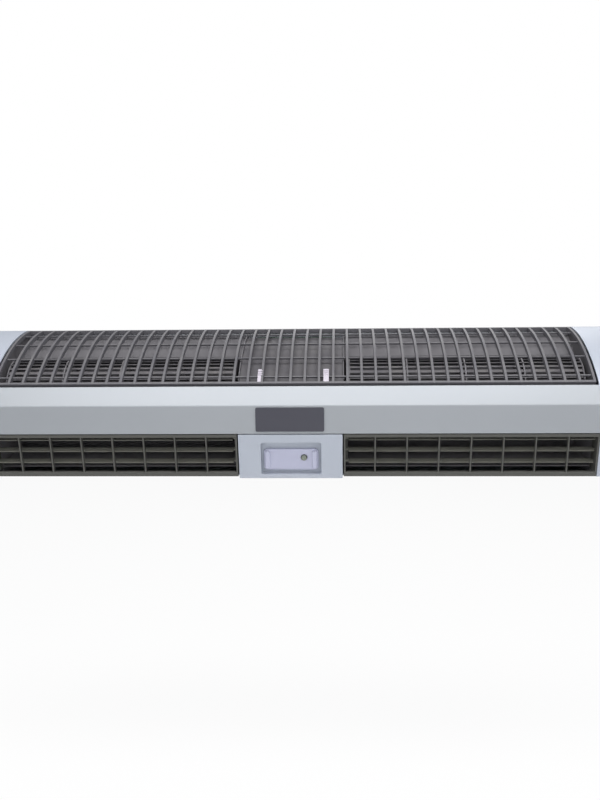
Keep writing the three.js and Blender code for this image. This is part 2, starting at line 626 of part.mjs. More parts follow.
for (const [hand, side] of [['left', -1], ['right', 1]]) {
  piece(unit, `${hand}_end_cap`, endCap(side), PALE_SILVER);
  for (const [place, at] of Object.entries(CAP_SCREWS)) {
    piece(unit, `${hand}_cap_screw_${place}`, capScrew(side, at), BRIGHT_STEEL);
  }
  piece(unit, `${hand}_grille_clip`, grilleClip(CLIP_X[hand]), WHITE);
  piece(unit, `${hand}_scroll`, scrollWall(side), DARK_SHEET);
  piece(unit, `${hand}_tongue`, tongue(side), DARK_SHEET);
  piece(unit, `${hand}_side_plate`, sidePlate(side), DARK_SHEET);
  piece(unit, `${hand}_partition`, partition(side), DARK_SHEET);

  piece(outlet, `${hand}_outlet_frame`, outletFrame(side), OUTLET_BLACK);
  BLADE_HEIGHTS.forEach((z, i) => {
    const blade = piece(outlet, `${hand}_louvre_${i + 1}`, louvreBlade(side), BLADE_GREY);
    blade.position.set(0, BLADE_PIVOT_DEPTH, z);
  });
  const link = piece(outlet, `${hand}_link_bar`, linkBar(side), OUTLET_BLACK);
  link.position.set(0, BLADE_PIVOT_DEPTH + CRANK, 0);

  piece(rotor, `${hand}_impeller`, impeller(side), WHEEL_GREY);
  const grub = piece(rotor, `${hand}_grub_screw`, grubScrew(), BRIGHT_STEEL);
  grub.position.x = side * (WHEEL_START + 10);
  piece(rotor, `${hand}_motor_strap`, motorStrap(side), STEEL);
  piece(rotor, `${hand}_motor_ring`, motorRing(side), RUBBER);
  piece(rotor, `${hand}_bearing_bracket`, bearingBracket(side), STEEL);
  piece(rotor, `${hand}_bearing_rubber`, bearingRubber(side), RUBBER);
  piece(rotor, `${hand}_bearing`, bearing(side), BRASS);

  const screw = piece(unit, `${hand}_bracket_screw`, bracketScrew(), BRIGHT_STEEL);
  screw.position.set(side * HOOK_X, 0, 75);
}

piece(unit, 'control_board', controlBoard(), BOARD_GREEN);
piece(unit, 'capacitor', capacitor(), CREAM);
piece(unit, 'terminal_block', terminalBlock(), CREAM);
piece(unit, 'cable_gland', cableGland(), WIRE_GREY);
piece(unit, 'supply_lead', wireAlong(SUPPLY_ROUTE, 2.4), WIRE_GREY);
piece(unit, 'motor_lead', wireAlong(MOTOR_ROUTE, 2), WIRE_GREY);

unit.position.z = -(BRACKET_BOTTOM + BRACKET_TOP) / 2;

const airCurtain = new THREE.Group();
airCurtain.add(unit);

export default airCurtain;
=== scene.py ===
# %% [markdown]
# # An air curtain, dressed in Blender
# The real object is a long fan that hangs over a doorway and blows a sheet of air down across it. A dark
# ribbed grille bulges over its top and front, a creased silver band runs below the grille, and two dark
# outlets sit at the foot with a small silver control panel between them. The construction comes in as a
# fixed frame, with every piece at its real size. This script adds what the eye wants: rounded edges, real
# wall thicknesses, and finishes with grain and dust.

# %% Load the frame
import json
import math

import bmesh
import bpy
from mathutils import Matrix, Vector


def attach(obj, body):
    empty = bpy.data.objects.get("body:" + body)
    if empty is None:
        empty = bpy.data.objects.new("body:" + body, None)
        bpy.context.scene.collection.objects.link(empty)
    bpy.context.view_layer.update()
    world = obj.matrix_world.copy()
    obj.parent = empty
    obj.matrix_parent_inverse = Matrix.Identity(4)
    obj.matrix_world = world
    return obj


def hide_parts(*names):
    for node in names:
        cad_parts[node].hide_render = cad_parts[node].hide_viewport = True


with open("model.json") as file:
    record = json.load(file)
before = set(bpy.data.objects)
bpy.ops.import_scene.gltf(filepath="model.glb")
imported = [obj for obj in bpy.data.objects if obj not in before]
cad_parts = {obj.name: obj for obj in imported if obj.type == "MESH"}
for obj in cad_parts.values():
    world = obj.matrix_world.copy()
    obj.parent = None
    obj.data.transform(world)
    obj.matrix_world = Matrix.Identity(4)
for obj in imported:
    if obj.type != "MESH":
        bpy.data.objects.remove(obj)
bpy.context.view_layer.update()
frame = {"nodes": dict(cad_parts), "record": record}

# %% [markdown]
# ## Sizes
# The unit is drawn in millimetres, as a workshop drawing would be, with the height counted from the
# underside and the depth from the wall. One matrix turns such a drawing into the frame's metres, whose
# origin is the middle of the wall bracket. Two more matrices serve the pieces that lean: the outlet face
# slopes back towards its foot, and the band's lower facet leans a little the other way. Drawing in a
# leaning plane keeps every number in it plain.

# %% Driving sizes, in millimetres
LENGTH = 930
CAP_WIDTH = 44.7
BODY_END = LENGTH / 2 - CAP_WIDTH - 0.3
ORIGIN_HEIGHT = 119
HEIGHT = 211.2
LIP = (-165, 0)
BAND_BOTTOM = (-184.5, 61)
NOSE = (-190, 100)
BAND_TOP = (-173.5, 127)
ARC_CENTRE = (27, -62)
ARC_RADIUS = 277
ARC_FRONT = 46
ARC_BACK = 9.6
OUTLET_HEIGHT = 63
PANEL_HALF = 72
PANEL_DROP = 2.5
OUTLET_START = 73.6
AXIS = (-88, 112)
MM = 0.001


def shifted(y, z):
    return Matrix.Translation((0, y, z))


UNIT = Matrix.Scale(MM, 4) @ shifted(0, -ORIGIN_HEIGHT)
OUTLET_TILT = math.atan2(LIP[0] - BAND_BOTTOM[0], BAND_BOTTOM[1])
FACET_TILT = math.atan2(BAND_BOTTOM[0] - NOSE[0], NOSE[1] - BAND_BOTTOM[1])
OUTLET = UNIT @ shifted(*LIP) @ Matrix.Rotation(OUTLET_TILT, 4, "X")
FACET = UNIT @ shifted(*BAND_BOTTOM) @ Matrix.Rotation(FACET_TILT, 4, "X")
ROTOR = UNIT @ shifted(*AXIS)
print("outlet leans %.1f degrees, facet %.1f degrees" % (math.degrees(OUTLET_TILT), math.degrees(FACET_TILT)))

# %% [markdown]
# ## The camera
# The photograph was taken from close by, a little right of the middle and a little above the band, so the
# two ends run out of the picture. Its place was found by matching the grille's sides, the level lines of the
# front and the outlet's dividers. The lens is given for a 36 mm sensor on the long side of a 600 by 800
# picture.

# %% Camera
CAMERA_PLACE = (69.6, -1411.1, 159.2)
CAMERA_YAW = math.radians(2.593)
CAMERA_DOWN = math.radians(2.401)
CAMERA_ROLL = math.radians(-0.337)
FOCAL_PIXELS = 898.8
PICTURE_HEIGHT = 800
SENSOR = 36


def add_camera():
    ahead = Vector((-math.sin(CAMERA_YAW) * math.cos(CAMERA_DOWN),
                    math.cos(CAMERA_YAW) * math.cos(CAMERA_DOWN),
                    -math.sin(CAMERA_DOWN)))
    right = ahead.cross(Vector((0, 0, 1))).normalized()
    up = right.cross(ahead)
    side = right * math.cos(CAMERA_ROLL) + up * math.sin(CAMERA_ROLL)
    top = up * math.cos(CAMERA_ROLL) - right * math.sin(CAMERA_ROLL)
    turn = Matrix((side, top, -ahead)).transposed().to_4x4()
    data = bpy.data.cameras.new("camera")
    data.sensor_width = SENSOR
    data.lens = SENSOR * FOCAL_PIXELS / PICTURE_HEIGHT
    data.clip_end = 100
    camera = bpy.data.objects.new("camera", data)
    bpy.context.scene.collection.objects.link(camera)
    camera.matrix_world = Matrix.Translation(UNIT @ Vector(CAMERA_PLACE)) @ turn
    bpy.context.scene.camera = camera
    return camera


camera = add_camera()
print("lens %.1f mm" % camera.data.lens)

# %% [markdown]
# ## Light and floor
# A product photograph like this one is lit by big soft lamps. The band's upper facet, which looks up, comes
# out nearly white, so the strongest lamp hangs high above and in front. Two weak long lamps, one a little
# above and one a little below the unit, lighten the faces that look forward, and one at each side lightens
# the caps. A lamp behind shows the back when the view goes round. The floor is pale and a long way below,
# since the unit hangs. Camera rays see floor and world as near white, which keeps the background light
# without pouring more light on the object.

# %% Stage
FLOOR_DROP = 560
FLOOR_SIZE = 12
FLOOR_GREY = 0.82
FLOOR_GLOW = 0.93
WORLD_LIGHT = (0.86, 0.88, 0.92, 1)
WORLD_STRENGTH = 0.34
# Each lamp: its place and its target in metres, its width and height, and its power in watts.
LAMPS = {
    "top_lamp": ((0.1, -0.87, 1.8), (0, -0.12, 0.0), 2.6, 0.7, 44),
    "front_lamp": ((0.1, -1.6, 0.75), (0, -0.1, -0.03), 1.8, 0.5, 6),
    "low_lamp": ((0.1, -2.0, -0.08), (0, -0.1, -0.03), 1.8, 0.4, 5.5),
    "right_lamp": ((1.7, -1.3, 0.4), (0.1, -0.1, 0), 1.0, 1.2, 4),
    "left_lamp": ((-1.9, -1.2, 0.3), (-0.1, -0.1, 0), 1.0, 1.2, 3),
    "rear_lamp": ((0.3, 1.8, 1.5), (0, 0, 0), 1.6, 1.0, 14),
}


def soft_lamp(name, place, target, width, height, power):
    data = bpy.data.lights.new(name, "AREA")
    data.shape = "RECTANGLE"
    data.size = width
    data.size_y = height
    data.energy = power
    lamp = bpy.data.objects.new(name, data)
    bpy.context.scene.collection.objects.link(lamp)
    lamp.location = place
    aim = Vector(target) - Vector(place)
    lamp.rotation_euler = aim.to_track_quat("-Z", "Y").to_euler()


def add_world():
    world = bpy.data.worlds.new("studio")
    bpy.context.scene.world = world
    world.use_nodes = True
    tree = world.node_tree
    tree.nodes.clear()
    rays = tree.nodes.new("ShaderNodeLightPath")
    dim = tree.nodes.new("ShaderNodeBackground")
    dim.inputs["Color"].default_value = WORLD_LIGHT
    dim.inputs["Strength"].default_value = WORLD_STRENGTH
    white = tree.nodes.new("ShaderNodeBackground")
    white.inputs["Color"].default_value = (1, 1, 1, 1)
    mix = tree.nodes.new("ShaderNodeMixShader")
    out = tree.nodes.new("ShaderNodeOutputWorld")
    tree.links.new(rays.outputs["Is Camera Ray"], mix.inputs["Fac"])
    tree.links.new(dim.outputs[0], mix.inputs[1])
    tree.links.new(white.outputs[0], mix.inputs[2])
    tree.links.new(mix.outputs[0], out.inputs["Surface"])


def add_floor():
    bm = bmesh.new()
    bmesh.ops.create_grid(bm, x_segments=1, y_segments=1, size=FLOOR_SIZE)
    bmesh.ops.translate(bm, verts=bm.verts, vec=(0, 0, -FLOOR_DROP * MM))
    mesh = bpy.data.meshes.new("floor")
    bm.to_mesh(mesh)
    bm.free()
    floor = bpy.data.objects.new("floor", mesh)
    bpy.context.scene.collection.objects.link(floor)
    material = bpy.data.materials.new("pale_floor")
    material.use_nodes = True
    tree = material.node_tree
    shader = tree.nodes["Principled BSDF"]
    shader.inputs["Base Color"].default_value = (FLOOR_GREY, FLOOR_GREY, FLOOR_GREY, 1)
    shader.inputs["Roughness"].default_value = 0.9
    glow = tree.nodes.new("ShaderNodeEmission")
    rays = tree.nodes.new("ShaderNodeLightPath")
    part = tree.nodes.new("ShaderNodeMath")
    part.operation = "MULTIPLY"
    part.inputs[1].default_value = FLOOR_GLOW
    mix = tree.nodes.new("ShaderNodeMixShader")
    tree.links.new(rays.outputs["Is Camera Ray"], part.inputs[0])
    tree.links.new(part.outputs[0], mix.inputs["Fac"])
    tree.links.new(shader.outputs[0], mix.inputs[1])
    tree.links.new(glow.outputs[0], mix.inputs[2])
    tree.links.new(mix.outputs[0], tree.nodes["Material Output"].inputs["Surface"])
    mesh.materials.append(material)


bpy.context.scene.view_settings.view_transform = "Standard"
add_world()
add_floor()
for name, setting in LAMPS.items():
    soft_lamp(name, *setting)

# %% [markdown]
# ## Building blocks for finishes
# Every finish starts in the same way: a Principled shader that reads the piece's own coordinates, so that
# the grain stays in the surface when a louvre tilts or the grille opens. Three effects come back in many
# finishes and are made once as node groups: the fine grain of a moulded or painted skin, the streaks of
# rolled sheet, and the dust that settles on what faces up.

# %% Node helpers


def srgb(red, green, blue):
    """A colour as it looks on a screen, 0 to 255, as the linear values that a shader wants."""
    def linear(value):
        share = value / 255
        return share / 12.92 if share <= 0.04045 else ((share + 0.055) / 1.055) ** 2.4
    return (linear(red), linear(green), linear(blue), 1)


def add_node(tree, kind, **settings):
    made = tree.nodes.new(kind)
    for key, value in settings.items():
        setattr(made, key, value)
    return made


def wire(tree, source, target):
    tree.links.new(source, target)


def new_group(name, inputs, outputs):
    """A node group with named sockets: inputs as (name, kind, value), outputs as (name, kind)."""
    tree = bpy.data.node_groups.new(name, "ShaderNodeTree")
    for label, kind, value in inputs:
        socket = tree.interface.new_socket(label, in_out="INPUT", socket_type=kind)
        if value is not None:
            socket.default_value = value
    for label, kind in outputs:
        tree.interface.new_socket(label, in_out="OUTPUT", socket_type=kind)
    return tree, tree.nodes.new("NodeGroupInput"), tree.nodes.new("NodeGroupOutput")


def use_group(tree, group, **values):
    made = tree.nodes.new("ShaderNodeGroup")
    made.node_tree = group
    for label, value in values.items():
        made.inputs[label.replace("_", " ")].default_value = value
    return made


def new_finish(name):
    """An empty material with a Principled shader; returns it, its tree, the shader and Object coordinates."""
    material = bpy.data.materials.new(name)
    material.use_nodes = True
    tree = material.node_tree
    shader = tree.nodes["Principled BSDF"]
    coords = tree.nodes.new("ShaderNodeTexCoord")
    return material, tree, shader, coords.outputs["Object"]


def bump_into(tree, shader, height, distance):
    bump = tree.nodes.new("ShaderNodeBump")
    bump.inputs["Distance"].default_value = distance
    wire(tree, height, bump.inputs["Height"])
    wire(tree, bump.outputs["Normal"], shader.inputs["Normal"])


# %% Shared effects


def make_grain_group():
    """Fine two-scale grain: outputs a height, and a tint that wanders slowly around 1."""
    tree, inside, outside = new_group("skin_grain", [
        ("Place", "NodeSocketVector", None),
        ("Fine Scale", "NodeSocketFloat", 1500.0),
        ("Broad Scale", "NodeSocketFloat", 9.0),
        ("Tint Spread", "NodeSocketFloat", 0.06),
    ], [("Height", "NodeSocketFloat"), ("Tint", "NodeSocketFloat")])
    fine = add_node(tree, "ShaderNodeTexNoise")
    fine.inputs["Detail"].default_value = 2
    broad = add_node(tree, "ShaderNodeTexNoise")
    broad.inputs["Detail"].default_value = 4
    for noise, label in ((fine, "Fine Scale"), (broad, "Broad Scale")):
        wire(tree, inside.outputs["Place"], noise.inputs["Vector"])
        wire(tree, inside.outputs[label], noise.inputs["Scale"])
    centred = add_node(tree, "ShaderNodeMath", operation="SUBTRACT")
    centred.inputs[1].default_value = 0.5
    scaled = add_node(tree, "ShaderNodeMath", operation="MULTIPLY_ADD")
    scaled.inputs[2].default_value = 1.0
    wire(tree, broad.outputs["Fac"], centred.inputs[0])
    wire(tree, centred.outputs[0], scaled.inputs[0])
    wire(tree, inside.outputs["Tint Spread"], scaled.inputs[1])
    wire(tree, fine.outputs["Fac"], outside.inputs["Height"])
    wire(tree, scaled.outputs[0], outside.inputs["Tint"])
    return tree


def make_dust_group():
    """Mask of dust on faces that look up, broken by noise."""
    tree, inside, outside = new_group("settled_dust", [
        ("Place", "NodeSocketVector", None),
        ("Amount", "NodeSocketFloat", 0.3),
        ("Patch Scale", "NodeSocketFloat", 30.0),
    ], [("Mask", "NodeSocketFloat")])
    geometry = add_node(tree, "ShaderNodeNewGeometry")
    parts = add_node(tree, "ShaderNodeSeparateXYZ")
    upward = add_node(tree, "ShaderNodeMapRange", interpolation_type="SMOOTHSTEP")
    upward.inputs["From Min"].default_value = 0.25
    upward.inputs["From Max"].default_value = 1.0
    noise = add_node(tree, "ShaderNodeTexNoise")
    noise.inputs["Detail"].default_value = 6
    noise.inputs["Roughness"].default_value = 0.65
    patches = add_node(tree, "ShaderNodeMapRange")
    patches.inputs["From Min"].default_value = 0.35
    patches.inputs["From Max"].default_value = 0.7
    both = add_node(tree, "ShaderNodeMath", operation="MULTIPLY")
    amount = add_node(tree, "ShaderNodeMath", operation="MULTIPLY", use_clamp=True)
    wire(tree, geometry.outputs["Normal"], parts.inputs[0])
    wire(tree, parts.outputs["Z"], upward.inputs["Value"])
    wire(tree, inside.outputs["Place"], noise.inputs["Vector"])
    wire(tree, inside.outputs["Patch Scale"], noise.inputs["Scale"])
    wire(tree, noise.outputs["Fac"], patches.inputs["Value"])
    wire(tree, upward.outputs["Result"], both.inputs[0])
    wire(tree, patches.outputs["Result"], both.inputs[1])
    wire(tree, both.outputs[0], amount.inputs[0])
    wire(tree, inside.outputs["Amount"], amount.inputs[1])
    wire(tree, amount.outputs[0], outside.inputs["Mask"])
    return tree


def make_streak_group():
    """Long fine streaks along X, as rolling leaves in sheet and strip."""
    tree, inside, outside = new_group("rolled_streaks", [
        ("Place", "NodeSocketVector", None),
        ("Across Scale", "NodeSocketFloat", 900.0),
    ], [("Value", "NodeSocketFloat")])
    stretch = add_node(tree, "ShaderNodeMapping")
    stretch.inputs["Scale"].default_value = (0.012, 1, 1)
    noise = add_node(tree, "ShaderNodeTexNoise")
    noise.inputs["Detail"].default_value = 3
    wire(tree, inside.outputs["Place"], stretch.inputs["Vector"])
    wire(tree, stretch.outputs[0], noise.inputs["Vector"])
    wire(tree, inside.outputs["Across Scale"], noise.inputs["Scale"])
    wire(tree, noise.outputs["Fac"], outside.inputs["Value"])
    return tree


GRAIN = make_grain_group()
DUST = make_dust_group()
STREAKS = make_streak_group()
print("groups:", [group.name for group in bpy.data.node_groups])

# %% [markdown]
# ## Painted and moulded skins
# Nearly all that shows is either a moulding or sprayed paint. They differ in colour, gloss and grain, and
# in how much dust they hold, so one function makes them all. The tint wanders by a few per cent over the
# length, the grain lifts the surface by hundredths of a millimetre, and dust lightens and dulls what faces
# up.

# %% Skin finish
DUST_COLOUR = srgb(168, 164, 156)


def skin(name, colour, roughness, fine, depth, spread, dust, metallic=0.0, coat=0.0):
    """A skin whose grain is `fine` to the metre and `depth` metres deep, with `dust` from 0 to 1."""
    material, tree, shader, place = new_finish(name)
    grain = use_group(tree, GRAIN, Fine_Scale=fine, Tint_Spread=spread)
    settled = use_group(tree, DUST, Amount=dust)
    wire(tree, place, grain.inputs["Place"])
    wire(tree, place, settled.inputs["Place"])
    tinted = add_node(tree, "ShaderNodeVectorMath", operation="SCALE")
    tinted.inputs[0].default_value = colour[:3]
    wire(tree, grain.outputs["Tint"], tinted.inputs["Scale"])
    mix = add_node(tree, "ShaderNodeMix", data_type="RGBA")
    wire(tree, settled.outputs["Mask"], mix.inputs["Factor"])
    wire(tree, tinted.outputs[0], mix.inputs["A"])
    mix.inputs["B"].default_value = DUST_COLOUR
    wire(tree, mix.outputs["Result"], shader.inputs["Base Color"])
    rough = add_node(tree, "ShaderNodeMapRange")
    rough.inputs["To Min"].default_value = roughness - 0.04
    rough.inputs["To Max"].default_value = roughness + 0.06
    wire(tree, grain.outputs["Height"], rough.inputs["Value"])
    dull = add_node(tree, "ShaderNodeMath", operation="MULTIPLY_ADD", use_clamp=True)
    dull.inputs[1].default_value = 0.4
    wire(tree, settled.outputs["Mask"], dull.inputs[0])
    wire(tree, rough.outputs["Result"], dull.inputs[2])
    wire(tree, dull.outputs[0], shader.inputs["Roughness"])
    shader.inputs["Metallic"].default_value = metallic
    shader.inputs["Coat Weight"].default_value = coat
    shader.inputs["Coat Roughness"].default_value = 0.15
    bump_into(tree, shader, grain.outputs["Height"], depth)
    return material


FINISHES = {
    "silver": skin("silver_paint", srgb(154, 158, 163), 0.46,
                   fine=2600, depth=0.000012, spread=0.04, dust=0.05, metallic=0.3, coat=0.1),
    "pale_silver": skin("silver_moulding", srgb(176, 182, 193), 0.42,
                        fine=1900, depth=0.00002, spread=0.03, dust=0.06, metallic=0.1),
    "graphite": skin("graphite_moulding", srgb(92, 91, 96), 0.5,
                     fine=1600, depth=0.00003, spread=0.08, dust=0.18),
    "outlet_black": skin("outlet_moulding", srgb(78, 78, 74), 0.5,
                         fine=1500, depth=0.00003, spread=0.08, dust=0.12),
    "blade_grey": skin("louvre_moulding", srgb(118, 118, 110), 0.46,
                       fine=1500, depth=0.00002, spread=0.08, dust=0.2),
    "dark_sheet": skin("dark_painted_sheet", srgb(112, 110, 114), 0.55,
                       fine=700, depth=0.00004, spread=0.08, dust=0.04),
    "wheel_grey": skin("wheel_moulding", srgb(106, 104, 109), 0.5,
                       fine=1300, depth=0.00003, spread=0.08, dust=0.3),
    "rubber": skin("black_rubber", srgb(30, 30, 32), 0.8,
                   fine=900, depth=0.00004, spread=0.15, dust=0.25),
    "white_clip": skin("white_moulding", srgb(192, 186, 196), 0.4,
                       fine=1900, depth=0.00001, spread=0.02, dust=0.04, coat=0.3),
    "plate_dark": skin("name_plate_lacquer", srgb(52, 52, 64), 0.34,
                       fine=2400, depth=0.000008, spread=0.12, dust=0.1, metallic=0.1, coat=0.5),
    "lilac": skin("infrared_window", srgb(180, 182, 204), 0.24,
                  fine=2400, depth=0.000006, spread=0.05, dust=0.03, coat=0.6),
    "olive": skin("button_moulding", srgb(124, 130, 118), 0.36,
                  fine=1900, depth=0.00001, spread=0.1, dust=0.05, coat=0.3),
    "motor_paint": skin("motor_hammer_paint", srgb(52, 56, 62), 0.42,
                        fine=420, depth=0.00012, spread=0.15, dust=0.35, metallic=0.2, coat=0.2),
    "cream": skin("cream_moulding", srgb(226, 221, 207), 0.45,
                  fine=1500, depth=0.00002, spread=0.05, dust=0.25),
    "wire_grey": skin("nylon_and_sleeve", srgb(110, 113, 118), 0.5,
                      fine=1500, depth=0.00002, spread=0.08, dust=0.2),
}
print(len(FINISHES), "skins")

# %% [markdown]
# ## Bare metals
# Galvanised sheet shows a patchwork of zinc crystals, each with its own grey and gloss, under faint
# rolling streaks. A Voronoi texture gives the crystals. Screws, shaft and bushes are turned or plated
# parts, with a finer and more even surface.

# %% Metal finishes


def galvanised_sheet():
    material, tree, shader, place = new_finish("galvanised_sheet")
    crystals = add_node(tree, "ShaderNodeTexVoronoi")
    crystals.inputs["Scale"].default_value = 95
    wobble = add_node(tree, "ShaderNodeTexNoise")
    wobble.inputs["Scale"].default_value = 60
    bend = add_node(tree, "ShaderNodeVectorMath", operation="MULTIPLY_ADD")
    bend.inputs[1].default_value = (0.008, 0.008, 0.008)
    streaks = use_group(tree, STREAKS)
    settled = use_group(tree, DUST, Amount=0.3)
    wire(tree, place, wobble.inputs["Vector"])
    wire(tree, wobble.outputs["Color"], bend.inputs[0])
    wire(tree, place, bend.inputs[2])
    wire(tree, bend.outputs[0], crystals.inputs["Vector"])
    wire(tree, place, streaks.inputs["Place"])
    wire(tree, place, settled.inputs["Place"])
    grey = add_node(tree, "ShaderNodeSeparateColor")
    wire(tree, crystals.outputs["Color"], grey.inputs[0])
    ramp = add_node(tree, "ShaderNodeMix", data_type="RGBA")
    ramp.inputs["A"].default_value = srgb(158, 163, 168)
    ramp.inputs["B"].default_value = srgb(192, 197, 202)
    wire(tree, grey.outputs[0], ramp.inputs["Factor"])
    dusty = add_node(tree, "ShaderNodeMix", data_type="RGBA")
    dusty.inputs["B"].default_value = DUST_COLOUR
    wire(tree, settled.outputs["Mask"], dusty.inputs["Factor"])
    wire(tree, ramp.outputs["Result"], dusty.inputs["A"])
    wire(tree, dusty.outputs["Result"], shader.inputs["Base Color"])
    gloss = add_node(tree, "ShaderNodeMapRange")
    gloss.inputs["To Min"].default_value = 0.34
    gloss.inputs["To Max"].default_value = 0.52
    wire(tree, grey.outputs[1], gloss.inputs["Value"])
    wire(tree, gloss.outputs["Result"], shader.inputs["Roughness"])
    shader.inputs["Metallic"].default_value = 0.75
    bump_into(tree, shader, streaks.outputs["Value"], 0.00002)
    return material


def turned_metal(name, colour, roughness):
    material, tree, shader, place = new_finish(name)
    grain = use_group(tree, GRAIN, Fine_Scale=2200.0, Tint_Spread=0.1, Broad_Scale=120.0)
    wire(tree, place, grain.inputs["Place"])
    tinted = add_node(tree, "ShaderNodeVectorMath", operation="SCALE")
    tinted.inputs[0].default_value = colour[:3]
    wire(tree, grain.outputs["Tint"], tinted.inputs["Scale"])
    wire(tree, tinted.outputs[0], shader.inputs["Base Color"])
    rough = add_node(tree, "ShaderNodeMapRange")
    rough.inputs["To Min"].default_value = roughness - 0.06
    rough.inputs["To Max"].default_value = roughness + 0.08
    wire(tree, grain.outputs["Height"], rough.inputs["Value"])
    wire(tree, rough.outputs["Result"], shader.inputs["Roughness"])
    shader.inputs["Metallic"].default_value = 1.0
    bump_into(tree, shader, grain.outputs["Height"], 0.00001)
    return material


def circuit_board():
    """Green solder mask over copper tracks, which a brick pattern lays out in right angles."""
    material, tree, shader, place = new_finish("circuit_board")
    tracks = add_node(tree, "ShaderNodeTexBrick")
    tracks.inputs["Scale"].default_value = 190
    tracks.inputs["Mortar Size"].default_value = 0.03
    tracks.inputs["Color1"].default_value = srgb(38, 84, 54)
    tracks.inputs["Color2"].default_value = srgb(33, 74, 47)
    tracks.inputs["Mortar"].default_value = srgb(70, 122, 78)
    flat = add_node(tree, "ShaderNodeMapping")
    flat.inputs["Rotation"].default_value = (math.radians(90), 0, 0)
    wire(tree, place, flat.inputs["Vector"])
    wire(tree, flat.outputs[0], tracks.inputs["Vector"])
    wire(tree, tracks.outputs["Color"], shader.inputs["Base Color"])
    shader.inputs["Roughness"].default_value = 0.35
    bump_into(tree, shader, tracks.outputs["Fac"], 0.00003)
    return material


FINISHES["galvanised"] = galvanised_sheet()
FINISHES["screw_steel"] = turned_metal("zinc_plate", srgb(200, 202, 206), 0.3)
FINISHES["bronze"] = turned_metal("sintered_bronze", srgb(176, 140, 84), 0.42)
FINISHES["board"] = circuit_board()
print(len(FINISHES), "finishes in all")

# %% [markdown]
# ## Tools for the bench
# Sheet metal is a line bent in profile and drawn out along the unit, then given its thickness. Mouldings
# are outlines drawn out, with their edges rounded. Turned parts are profiles spun about an axis. Each helper
# below wraps the bmesh operators for one of these, and `hand_over` turns the result into an object that
# rides on its body.

# %% Modelling helpers
# Angles in degrees: faces shade as one up to SMOOTH_TO, merge within FLAT_WITHIN, and meet in a corner from
# CORNER_FROM on. NEAR is the reach, in millimetres, for telling which points lie in a plane.
SMOOTH_TO = 32
FLAT_WITHIN = 0.5
CORNER_FROM = 50
NEAR = 0.01


def moved_verts(result):
    return [item for item in result["geom"] if isinstance(item, bmesh.types.BMVert)]


def outward(bm):
    bmesh.ops.recalc_face_normals(bm, faces=bm.faces[:])


def flatten(bm):
    """Joins faces that lie in one plane."""
    bmesh.ops.dissolve_limit(bm, angle_limit=math.radians(FLAT_WITHIN), verts=bm.verts[:], edges=bm.edges[:])


def corner_edges(bm):
    limit = math.radians(CORNER_FROM)
    return [edge for edge in bm.edges if len(edge.link_faces) == 2 and edge.calc_face_angle() > limit]


def front_corners(bm, y):
    return [edge for edge in corner_edges(bm) if all(v.co.y < y + NEAR for v in edge.verts)]


def soften(bm, edges, radius, segments=3):
    bmesh.ops.bevel(bm, geom=edges, offset=radius, segments=segments, profile=0.5,
                    affect="EDGES", material=-1, clamp_overlap=True)


def draw_loop(bm, points):
    verts = [bm.verts.new(point) for point in points]
    return [bm.edges.new((verts[i - 1], verts[i])) for i in range(len(verts))]


def draw_out(bm, points, way):
    """A closed outline filled and drawn out by a vector; returns its new faces."""
    before = set(bm.faces)
    face = bm.faces.new([bm.verts.new(point) for point in points])
    grown = bmesh.ops.extrude_face_region(bm, geom=[face])
    bmesh.ops.translate(bm, verts=moved_verts(grown), vec=way)
    fresh = [f for f in bm.faces if f not in before]
    bmesh.ops.recalc_face_normals(bm, faces=fresh)
    return fresh


def drawn_back(bm, edges, depth):
    """Walls drawn back from a loop of edges; returns the loop at their far end."""
    grown = bmesh.ops.extrude_edge_only(bm, edges=edges)
    bmesh.ops.translate(bm, verts=moved_verts(grown), vec=(0, depth, 0))
    return [item for item in grown["geom"] if isinstance(item, bmesh.types.BMEdge)]


def along_x(outline, x):
    return [(x, y, z) for y, z in outline]


def along_y(outline, y):
    return [(x, y, z) for x, z in outline]


def rounded_block(x0, x1, y0, y1, z0, z1, radius, segments):
    bm = bmesh.new()
    size = Matrix.Diagonal((x1 - x0, y1 - y0, z1 - z0, 1))
    centre = Matrix.Translation(((x0 + x1) / 2, (y0 + y1) / 2, (z0 + z1) / 2))
    bmesh.ops.create_cube(bm, size=1, matrix=centre @ size)
    soften(bm, corner_edges(bm), radius, segments)
    return bm


def rod_x(bm, x0, x1, y, z, radius, sides):
    turn = Matrix.Translation(((x0 + x1) / 2, y, z)) @ Matrix.Rotation(math.radians(90), 4, "Y")
    bmesh.ops.create_cone(bm, cap_ends=True, segments=sides, radius1=radius, radius2=radius,
                          depth=x1 - x0, matrix=turn)


def bent_sheet(path, x0, x1, thickness, radius=0.0):
    """A sheet bent along a path of (y, z) points, lying to the path's left, from x0 to x1."""
    bm = bmesh.new()
    verts = [bm.verts.new((x0, y, z)) for y, z in reversed(path)]
    edges = [bm.edges.new(pair) for pair in zip(verts, verts[1:])]
    grown = bmesh.ops.extrude_edge_only(bm, edges=edges)
    bmesh.ops.translate(bm, verts=moved_verts(grown), vec=(x1 - x0, 0, 0))
    if radius:
        folds = [edge for edge in bm.edges if len(edge.link_faces) == 2]
        soften(bm, folds, radius, 4)
    bmesh.ops.solidify(bm, geom=bm.faces[:], thickness=thickness)
    return bm


def holed_plate(outline, holes, way):
    """A flat plate from 3-D outline points with holes cut through, drawn out by a vector."""
    bm = bmesh.new()
    edges = draw_loop(bm, outline)
    for hole in holes:
        edges += draw_loop(bm, hole)
    bmesh.ops.triangle_fill(bm, edges=edges, use_beauty=True)
    grown = bmesh.ops.extrude_face_region(bm, geom=bm.faces[:])
    bmesh.ops.translate(bm, verts=moved_verts(grown), vec=way)
    outward(bm)
    flatten(bm)
    return bm


